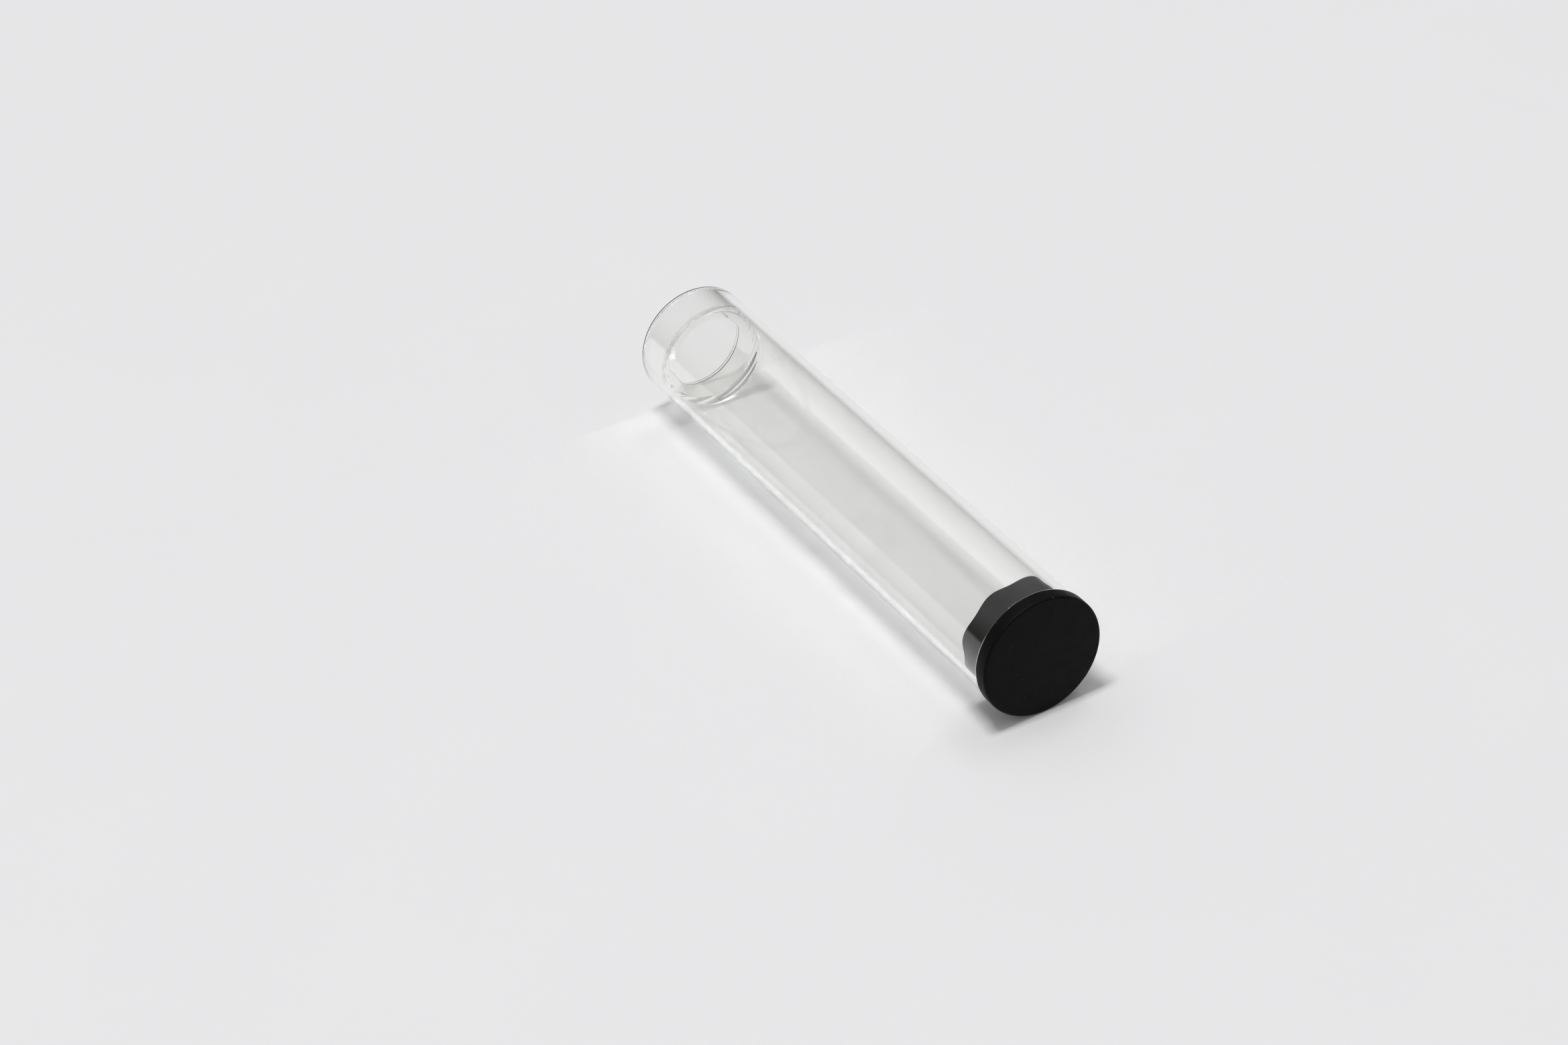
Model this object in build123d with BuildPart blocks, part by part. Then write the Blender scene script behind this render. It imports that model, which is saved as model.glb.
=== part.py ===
from build123d import *
import math
import os

# A clear straight-walled tube lying on its side, with a clear cup-shaped plug set flush in its closed end
# and a black rubber stopper in its mouth. Millimetres. The tube's axis runs along X, the stopper is at +X,
# +Z is up, and the origin is at the bottom centre of the whole object's box.

# ---- driving dimensions ----
tube_outer_radius = 10.0
wall_thickness = 1.0
tube_length = 103.9
rim_edge_radius = 0.4             # both edges of the rim at each end of the tube

plug_glue_gap = 0.04              # radial, filled by the bond that holds the end plug in the bore
plug_depth = 7.5                  # from the closed end's rim to the plug's inner lip
plug_floor_thickness = 0.7
plug_skirt_thickness = 0.6
plug_edge_radius = 0.2
dish_depth = 0.9                  # the plug's inner face is dished, from the lip down to a flat middle
dish_floor_radius = 6.8
dish_lip_width = 0.3
dish_corner_radius = 1.2

flange_radius = 10.3
flange_thickness = 2.4
flange_front_edge_radius = 0.45
flange_back_edge_radius = 0.2
seat_gap = 0.05                   # between the stopper's flange and the mouth's rim
insert_length = 5.5
insert_clearance = 0.05           # radial, between the crests of the insert and the bore
lobe_count = 8
lobe_depth = 0.5                  # from a crest down to a hollow between two crests
lobe_turn_deg = 25.5              # first crest, measured from +Y towards +Z
insert_tip_edge_radius = 0.3

# ---- derived places ----
bore_radius = tube_outer_radius - wall_thickness
axis_height = flange_radius
overall_length = tube_length + seat_gap + flange_thickness
closed_end_x = -overall_length / 2
mouth_x = closed_end_x + tube_length
flange_back_x = mouth_x + seat_gap
insert_tip_x = flange_back_x - insert_length
plug_outer_radius = bore_radius - plug_glue_gap
crest_radius = bore_radius - insert_clearance


def section_across(x):
    """A plane square to the tube's axis at x: its own x runs along +Y and its own y along +Z."""
    return Plane(origin=(x, 0, axis_height), x_dir=(0, 1, 0), z_dir=(1, 0, 0))


# ---- tube: open at both ends, with eased rims ----
with BuildPart() as tube:
    with BuildSketch(section_across(closed_end_x)):
        Circle(tube_outer_radius)
        Circle(bore_radius, mode=Mode.SUBTRACT)
    extrude(amount=tube_length)
    fillet(tube.edges().filter_by(GeomType.CIRCLE), radius=rim_edge_radius)
tube.part.label = "tube"

# ---- end plug: a shallow cup, its floor inside the tube and its open side flush with the rim ----
with BuildPart() as end_plug:
    with BuildSketch(section_across(closed_end_x)):
        Circle(plug_outer_radius)
    extrude(amount=plug_depth)
    with BuildSketch(section_across(closed_end_x)):
        Circle(plug_outer_radius - plug_skirt_thickness)
    extrude(amount=plug_depth - dish_depth - plug_floor_thickness, mode=Mode.SUBTRACT)
    fillet(end_plug.edges().filter_by(GeomType.CIRCLE), radius=plug_edge_radius)
    # the dish in its inner face, a flat middle with a cone up to the lip
    with BuildSketch(section_across(closed_end_x + plug_depth)):
        Circle(plug_outer_radius - dish_lip_width)
    with BuildSketch(section_across(closed_end_x + plug_depth - dish_depth)):
        Circle(dish_floor_radius)
    loft(mode=Mode.SUBTRACT)
    dish_floor = end_plug.faces().filter_by(GeomType.PLANE).sort_by(Axis.X)[-2]
    fillet(dish_floor.edges(), radius=dish_corner_radius)
end_plug.part.label = "end_plug"


def lobed_outline():
    """Points of a closed outline whose radius swells and dips evenly, one crest and one hollow per lobe."""
    middle_radius = crest_radius - lobe_depth / 2
    points = []
    for step in range(4 * lobe_count):
        turn = math.radians(lobe_turn_deg) + step * math.tau / (4 * lobe_count)
        swell = lobe_depth / 2 * math.cos(step * math.tau / 4)
        radius = middle_radius + swell
        points.append((radius * math.cos(turn), radius * math.sin(turn)))
    return points


# ---- stopper: a flat round flange with a shallow-lobed insert ----
with BuildPart() as stopper:
    with BuildSketch(section_across(flange_back_x)):
        Circle(flange_radius)
    extrude(amount=flange_thickness)
    flange_rims = stopper.edges().filter_by(GeomType.CIRCLE).sort_by(Axis.X)
    fillet(flange_rims[-1], radius=flange_front_edge_radius)
    fillet(stopper.edges().filter_by(GeomType.CIRCLE).sort_by(Axis.X)[0], radius=flange_back_edge_radius)
    with BuildSketch(section_across(insert_tip_x)):
        with BuildLine():
            Spline(*lobed_outline(), periodic=True)
        make_face()
    extrude(amount=insert_length + flange_thickness / 2)
    fillet(stopper.edges().sort_by(Axis.X)[0], radius=insert_tip_edge_radius)
stopper.part.label = "stopper"

os.makedirs("parts", exist_ok=True)
export_step(tube.part, "parts/tube.step")
export_step(end_plug.part, "parts/end_plug.step")
export_step(stopper.part, "parts/stopper.step")
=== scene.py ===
"""Looks of a clear stoppered tube lying on a pale floor: every piece is turned on the tube's axis."""

import math

import bmesh
import bpy
from mathutils import Matrix, Vector


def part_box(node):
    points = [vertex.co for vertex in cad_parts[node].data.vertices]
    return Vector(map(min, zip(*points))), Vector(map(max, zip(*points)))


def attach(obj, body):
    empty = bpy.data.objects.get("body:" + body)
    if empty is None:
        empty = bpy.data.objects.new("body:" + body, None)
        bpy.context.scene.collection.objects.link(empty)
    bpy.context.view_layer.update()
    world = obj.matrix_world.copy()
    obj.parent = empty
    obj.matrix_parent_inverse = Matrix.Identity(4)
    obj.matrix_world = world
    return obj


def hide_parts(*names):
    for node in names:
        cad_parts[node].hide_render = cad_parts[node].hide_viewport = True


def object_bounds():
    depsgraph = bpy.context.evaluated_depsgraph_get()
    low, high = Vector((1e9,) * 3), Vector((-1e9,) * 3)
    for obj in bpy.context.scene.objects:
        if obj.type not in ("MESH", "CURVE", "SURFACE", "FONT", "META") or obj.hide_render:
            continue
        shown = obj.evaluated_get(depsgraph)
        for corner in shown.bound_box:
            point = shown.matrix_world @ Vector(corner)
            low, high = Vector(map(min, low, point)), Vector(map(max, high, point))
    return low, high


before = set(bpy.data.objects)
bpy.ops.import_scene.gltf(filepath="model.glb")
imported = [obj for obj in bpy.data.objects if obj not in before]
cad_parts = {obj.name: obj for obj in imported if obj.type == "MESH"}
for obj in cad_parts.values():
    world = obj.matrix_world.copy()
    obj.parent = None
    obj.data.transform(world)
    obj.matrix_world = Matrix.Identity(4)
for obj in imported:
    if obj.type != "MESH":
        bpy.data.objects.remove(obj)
cad_low, cad_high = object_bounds()

MM = 0.001

# ---- shape of the pieces that their boxes don't give, as in the CAD ----
WALL = 1.0 * MM
RIM_EDGE = 0.4 * MM
SKIRT = 0.6 * MM
PLUG_FLOOR = 0.7 * MM
DISH_DEPTH = 0.9 * MM
DISH_FLOOR_RADIUS = 6.8 * MM
DISH_LIP = 0.3 * MM
DISH_CORNER = 1.2 * MM
SHARP_EDGE = 0.05 * MM
PLUG_EDGE = 0.2 * MM
FLANGE = 2.4 * MM
FLANGE_FRONT_EDGE = 0.45 * MM
FLANGE_BACK_EDGE = 0.2 * MM
INSERT_CREST = 8.95 * MM
TIP_EDGE = 0.3 * MM
LOBES = 8
LOBE_DEPTH = 0.5 * MM
LOBE_TURN = math.radians(25.5)

# ---- resolution of the turned meshes ----
STEPS = 256
ARC_STEPS = 8

# ---- camera: the photograph's viewing angle ----
CAMERA_AZIMUTH = math.radians(-27.1)
CAMERA_ELEVATION = math.radians(35.7)
CAMERA_ROLL = math.radians(5.3)
CAMERA_DISTANCE = 0.630
CAMERA_LENS = 92.6
SENSOR_WIDTH = 36.0
AIM = Vector((0.00085, -0.01405, 0.0103))

# ---- light: a softbox almost overhead, a weaker lamp behind it and the room ----
LAMP_DISTANCE = 3.0
KEY_TILT = math.radians(-8)
KEY_SIZE = (0.3, 0.88)
KEY_POWER = 45
BACK_TILT = (math.radians(-13), math.radians(24))
BACK_SIZE = (0.6, 0.6)
BACK_POWER = 5
ROOM_LIGHT = 0.48
HORIZON_HEIGHT = 0.1
OVERHEAD_HEIGHT = 0.55
HORIZON_COLOUR = (0.345, 0.34, 0.31, 1)
OVERHEAD_COLOUR = (0.97, 0.97, 0.99, 1)

# ---- light paths: clear plastic turns light back inside its walls many times ----
LIGHT_BOUNCES = 40
BRIGHTEST_INDIRECT = 400

FLOOR_SIZE = 6.0
CAMERA_CLIP_START = 0.01

tube_low, tube_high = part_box("tube")
plug_low, plug_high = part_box("end_plug")
stopper_low, stopper_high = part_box("stopper")
axis_height = (tube_low.z + tube_high.z) / 2
tube_radius = (tube_high.z - tube_low.z) / 2
plug_radius = (plug_high.z - plug_low.z) / 2
flange_radius = (stopper_high.z - stopper_low.z) / 2
flange_back = stopper_high.x - FLANGE


# ---------------------------------------------------------------- turned meshes

def corner(point, before, after, radius, outward_sign):
    """The arc that eases one corner of a profile, as (x, r, normal x, normal r) along the way round."""
    here = Vector(point)
    come = (Vector(before) - here).normalized()
    leave = (Vector(after) - here).normalized()
    opening = come.angle(leave)
    setback = radius / math.tan(opening / 2)
    centre = here + (come + leave).normalized() * (radius / math.sin(opening / 2))
    normal_in = Vector((-come.y, come.x)) * outward_sign
    normal_out = Vector((leave.y, -leave.x)) * outward_sign
    start = math.atan2(normal_in.y, normal_in.x)
    sweep = math.atan2(normal_out.y, normal_out.x) - start
    sweep = (sweep + math.pi) % math.tau - math.pi
    side = 1 if (here + come * setback - centre).dot(normal_in) > 0 else -1
    arc = []
    for step in range(ARC_STEPS + 1):
        turn = start + sweep * step / ARC_STEPS
        normal = Vector((math.cos(turn), math.sin(turn)))
        spot = centre + normal * radius * side
        arc.append((spot.x, spot.y, normal.x, normal.y))
    return arc


def profile(corners):
    """A half section from its corners, each (x, r, edge radius), in order. Corners on the axis stay sharp."""
    count = len(corners)
    area = sum(
        corners[i][0] * corners[(i + 1) % count][1] - corners[(i + 1) % count][0] * corners[i][1]
        for i in range(count)
    )
    outward_sign = 1 if area > 0 else -1
    outline = []
    for i, (x, r, edge) in enumerate(corners):
        before = corners[i - 1][:2]
        after = corners[(i + 1) % count][:2]
        if r == 0:
            along = Vector(after) - Vector((x, r)) if i == 0 else Vector((x, r)) - Vector(before)
            along.normalize()
            outline.append((x, 0.0, along.y * outward_sign, -along.x * outward_sign))
        else:
            outline += corner((x, r), before, after, edge, outward_sign)
    return outline


def turned(name, outline, closed, shrink=None):
    """A mesh turned about the tube's axis. shrink(x, r, angle), if given, returns the radius to use there."""
    bm = bmesh.new()
    rings = []
    normals = []
    for x, r, normal_x, normal_r in outline:
        ring = []
        if r == 0:
            ring.append(bm.verts.new((x, 0, axis_height)))
            normals.append(Vector((normal_x, 0, 0)))
        else:
            for step in range(STEPS):
                turn = math.tau * step / STEPS
                radius = shrink(x, r, turn) if shrink else r
                ring.append(bm.verts.new((x, radius * math.cos(turn), axis_height + radius * math.sin(turn))))
                normals.append(Vector((normal_x, normal_r * math.cos(turn), normal_r * math.sin(turn))))
        rings.append(ring)
    pairs = list(zip(rings, rings[1:]))
    if closed:
        pairs.append((rings[-1], rings[0]))
    for one, two in pairs:
        for step in range(STEPS):
            following = (step + 1) % STEPS
            if len(one) == 1:
                bm.faces.new((one[0], two[following], two[step]))
            elif len(two) == 1:
                bm.faces.new((one[step], one[following], two[0]))
            else:
                bm.faces.new((one[step], one[following], two[following], two[step]))
    bmesh.ops.recalc_face_normals(bm, faces=bm.faces)
    mesh = bpy.data.meshes.new(name)
    bm.to_mesh(mesh)
    bm.free()
    for face in mesh.polygons:
        face.use_smooth = True
    if shrink is None:
        mesh.normals_split_custom_set_from_vertices([tuple(normal.normalized()) for normal in normals])
    piece = bpy.data.objects.new(name, mesh)
    bpy.context.scene.collection.objects.link(piece)
    return piece


def make_tube():
    bore = tube_radius - WALL
    outline = profile([
        (tube_low.x, tube_radius, RIM_EDGE),
        (tube_high.x, tube_radius, RIM_EDGE),
        (tube_high.x, bore, RIM_EDGE),
        (tube_low.x, bore, RIM_EDGE),
    ])
    return turned("clear_tube", outline, closed=True)


def make_end_plug():
    inner_face = plug_high.x - DISH_DEPTH
    outer_face = inner_face - PLUG_FLOOR
    recess_radius = plug_radius - SKIRT
    outline = profile([
        (inner_face, 0, 0),
        (inner_face, DISH_FLOOR_RADIUS, DISH_CORNER),
        (plug_high.x, plug_radius - DISH_LIP, SHARP_EDGE),
        (plug_high.x, plug_radius, PLUG_EDGE),
        (plug_low.x, plug_radius, PLUG_EDGE),
        (plug_low.x, recess_radius, PLUG_EDGE),
        (outer_face, recess_radius, PLUG_EDGE),
        (outer_face, 0, 0),
    ])
    return turned("clear_end_plug", outline, closed=False)


def lobed(x, r, turn):
    """The insert's side dips between its crests. The flat tip and the flange keep their radius."""
    if x > flange_back or r < INSERT_CREST - LOBE_DEPTH - TIP_EDGE:
        return r
    dip = LOBE_DEPTH * (1 - math.cos(LOBES * (turn - LOBE_TURN))) / 2
    return r - dip


def make_stopper():
    outline = profile([
        (stopper_low.x, 0, 0),
        (stopper_low.x, INSERT_CREST, TIP_EDGE),
        (flange_back, INSERT_CREST, SHARP_EDGE),
        (flange_back, flange_radius, FLANGE_BACK_EDGE),
        (stopper_high.x, flange_radius, FLANGE_FRONT_EDGE),
        (stopper_high.x, 0, 0),
    ])
    return turned("rubber_stopper", outline, closed=False, shrink=lobed)


# ---------------------------------------------------------------- materials

def new_material(name):
    material = bpy.data.materials.new(name)
    material.use_nodes = True
    return material, material.node_tree, material.node_tree.nodes["Principled BSDF"]


def noise(tree, feature_size, detail, stretch=(1, 1, 1)):
    """A noise pattern fixed to the piece, its features about feature_size metres across."""
    place = tree.nodes.new("ShaderNodeTexCoord")
    scaled = tree.nodes.new("ShaderNodeMapping")
    scaled.inputs["Scale"].default_value = stretch
    pattern = tree.nodes.new("ShaderNodeTexNoise")
    pattern.inputs["Scale"].default_value = 1 / feature_size
    pattern.inputs["Detail"].default_value = detail
    tree.links.new(place.outputs["Object"], scaled.inputs["Vector"])
    tree.links.new(scaled.outputs["Vector"], pattern.inputs["Vector"])
    return pattern.outputs["Fac"]


def spread(tree, value, start, end, lowest, highest):
    """Takes a pattern's values from start to end onto lowest to highest, and holds them there beyond."""
    ranged = tree.nodes.new("ShaderNodeMapRange")
    ranged.inputs["From Min"].default_value = start
    ranged.inputs["From Max"].default_value = end
    ranged.inputs["To Min"].default_value = lowest
    ranged.inputs["To Max"].default_value = highest
    tree.links.new(value, ranged.inputs["Value"])
    return ranged.outputs["Result"]


def tones(tree, value, low_colour, high_colour):
    """A colour that goes from one tone to the other as the pattern rises."""
    ramp = tree.nodes.new("ShaderNodeValToRGB")
    ramp.color_ramp.elements[0].color = low_colour
    ramp.color_ramp.elements[1].color = high_colour
    tree.links.new(value, ramp.inputs["Fac"])
    return ramp.outputs["Color"]


def bump(tree, shader, height, distance, strength):
    """Gives the surface a relief of about distance metres."""
    relief = tree.nodes.new("ShaderNodeBump")
    relief.inputs["Distance"].default_value = distance
    relief.inputs["Strength"].default_value = strength
    tree.links.new(height, relief.inputs["Height"])
    tree.links.new(relief.outputs["Normal"], shader.inputs["Normal"])


def clear_plastic():
    """Clear moulded plastic: a trace of olive in its depth, long faint scuffs, a slightly uneven surface."""
    material, tree, shader = new_material("clear_plastic")
    shader.inputs["Transmission Weight"].default_value = 1.0
    shader.inputs["IOR"].default_value = 1.49
    shader.inputs["Specular IOR Level"].default_value = 0.4
    clouds = noise(tree, feature_size=8 * MM, detail=2)
    olive = tones(tree, clouds, low_colour=(0.996, 1.0, 0.987, 1), high_colour=(0.999, 1.0, 0.991, 1))
    tree.links.new(olive, shader.inputs["Base Color"])
    scuffs = noise(tree, feature_size=0.5 * MM, detail=3, stretch=(0.06, 1, 1))
    scuffed = spread(tree, scuffs, start=0.66, end=0.78, lowest=0.0, highest=0.12)
    tree.links.new(scuffed, shader.inputs["Roughness"])
    waves = noise(tree, feature_size=3 * MM, detail=0, stretch=(0.1, 1, 1))
    bump(tree, shader, waves, distance=0.001 * MM, strength=0.5)
    return material


def black_rubber():
    """Matt black rubber: a fine pebbled skin, cloudy patches of bloom and a few specks of dust."""
    material, tree, shader = new_material("black_rubber")
    shader.inputs["Specular IOR Level"].default_value = 0.08
    clouds = noise(tree, feature_size=3 * MM, detail=4)
    bloom = tones(
        tree, clouds, low_colour=(0.0015, 0.0016, 0.0019, 1), high_colour=(0.004, 0.0041, 0.0048, 1)
    )
    specks = noise(tree, feature_size=0.3 * MM, detail=0)
    dust = spread(tree, specks, start=0.87, end=0.89, lowest=0.0, highest=0.4)
    dusty = tree.nodes.new("ShaderNodeMix")
    dusty.data_type = "RGBA"
    dusty.inputs["B"].default_value = (0.25, 0.24, 0.22, 1)
    tree.links.new(dust, dusty.inputs["Factor"])
    tree.links.new(bloom, dusty.inputs["A"])
    tree.links.new(dusty.outputs["Result"], shader.inputs["Base Color"])
    patches = noise(tree, feature_size=1.5 * MM, detail=3)
    worn = spread(tree, patches, start=0.3, end=0.7, lowest=0.42, highest=0.58)
    tree.links.new(worn, shader.inputs["Roughness"])
    bump(tree, shader, noise(tree, feature_size=0.12 * MM, detail=2), distance=0.02 * MM, strength=0.25)
    return material


def pale_floor():
    """A smooth pale board, very faintly mottled."""
    material, tree, shader = new_material("pale_floor")
    shader.inputs["Roughness"].default_value = 0.7
    clouds = noise(tree, feature_size=40 * MM, detail=3)
    mottle = tones(tree, clouds, low_colour=(0.815, 0.815, 0.822, 1), high_colour=(0.835, 0.834, 0.84, 1))
    tree.links.new(mottle, shader.inputs["Base Color"])
    bump(tree, shader, noise(tree, feature_size=0.5 * MM, detail=3), distance=0.01 * MM, strength=0.1)
    return material


# ---------------------------------------------------------------- pieces on their bodies

plastic = clear_plastic()
rubber = black_rubber()

tube_piece = make_tube()
plug_piece = make_end_plug()
stopper_piece = make_stopper()
for piece, material, body, node, slot in (
    (tube_piece, plastic, "tube_body", "tube", "clear_plastic"),
    (plug_piece, plastic, "tube_body", "end_plug", "clear_plastic"),
    (stopper_piece, rubber, "stopper_body", "stopper", "black_rubber"),
):
    piece.data.materials.append(material)
    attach(piece, body)
    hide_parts(node)


# ---------------------------------------------------------------- floor, lights and camera

def make_floor():
    bm = bmesh.new()
    bmesh.ops.create_grid(bm, x_segments=1, y_segments=1, size=FLOOR_SIZE / 2)
    mesh = bpy.data.meshes.new("floor")
    bm.to_mesh(mesh)
    bm.free()
    floor = bpy.data.objects.new("floor", mesh)
    floor.location.z = cad_low[2]
    floor.data.materials.append(pale_floor())
    bpy.context.scene.collection.objects.link(floor)


def make_world():
    """Room light: bright overhead, dimmer and a little brown towards the horizon."""
    world = bpy.data.worlds.new("studio")
    bpy.context.scene.world = world
    world.use_nodes = True
    tree = world.node_tree
    place = tree.nodes.new("ShaderNodeTexCoord")
    parts = tree.nodes.new("ShaderNodeSeparateXYZ")
    ramp = tree.nodes.new("ShaderNodeValToRGB")
    ramp.color_ramp.elements[0].position = HORIZON_HEIGHT
    ramp.color_ramp.elements[0].color = HORIZON_COLOUR
    ramp.color_ramp.elements[1].position = OVERHEAD_HEIGHT
    ramp.color_ramp.elements[1].color = OVERHEAD_COLOUR
    tree.links.new(place.outputs["Generated"], parts.inputs["Vector"])
    tree.links.new(parts.outputs["Z"], ramp.inputs["Fac"])
    background = tree.nodes["Background"]
    background.inputs["Strength"].default_value = ROOM_LIGHT
    tree.links.new(ramp.outputs["Color"], background.inputs["Color"])


def area_light(name, tilt_x, tilt_y, size, power):
    """A lamp facing the origin from LAMP_DISTANCE, leaned from straight overhead by its two tilts."""
    lamp = bpy.data.lights.new(name, "AREA")
    lamp.shape = "RECTANGLE"
    lamp.size, lamp.size_y = size
    lamp.energy = power
    light = bpy.data.objects.new(name, lamp)
    way = Vector((math.tan(tilt_x), math.tan(tilt_y), 1)).normalized()
    light.location = way * LAMP_DISTANCE
    light.rotation_euler = (-way).to_track_quat("-Z", "Y").to_euler()
    bpy.context.scene.collection.objects.link(light)


def make_camera():
    level = math.cos(CAMERA_ELEVATION)
    back = Vector((
        level * math.cos(CAMERA_AZIMUTH),
        level * math.sin(CAMERA_AZIMUTH),
        math.sin(CAMERA_ELEVATION),
    ))
    data = bpy.data.cameras.new("camera")
    data.sensor_width = SENSOR_WIDTH
    data.lens = CAMERA_LENS
    data.clip_start = CAMERA_CLIP_START
    camera = bpy.data.objects.new("camera", data)
    look = (-back).to_track_quat("-Z", "Y").to_matrix().to_4x4()
    roll = Matrix.Rotation(-CAMERA_ROLL, 4, "Z")
    camera.matrix_world = Matrix.Translation(AIM + back * CAMERA_DISTANCE) @ look @ roll
    bpy.context.scene.collection.objects.link(camera)
    bpy.context.scene.camera = camera


make_floor()
make_world()
area_light("key", 0, KEY_TILT, KEY_SIZE, KEY_POWER)
area_light("back", *BACK_TILT, BACK_SIZE, BACK_POWER)
make_camera()

scene = bpy.context.scene
scene.view_settings.view_transform = "Standard"
scene.cycles.max_bounces = LIGHT_BOUNCES
scene.cycles.glossy_bounces = LIGHT_BOUNCES
scene.cycles.transmission_bounces = LIGHT_BOUNCES
scene.cycles.transparent_max_bounces = LIGHT_BOUNCES
scene.cycles.sample_clamp_indirect = BRIGHTEST_INDIRECT
scene.cycles.blur_glossy = 0
scene.cycles.use_guiding = True
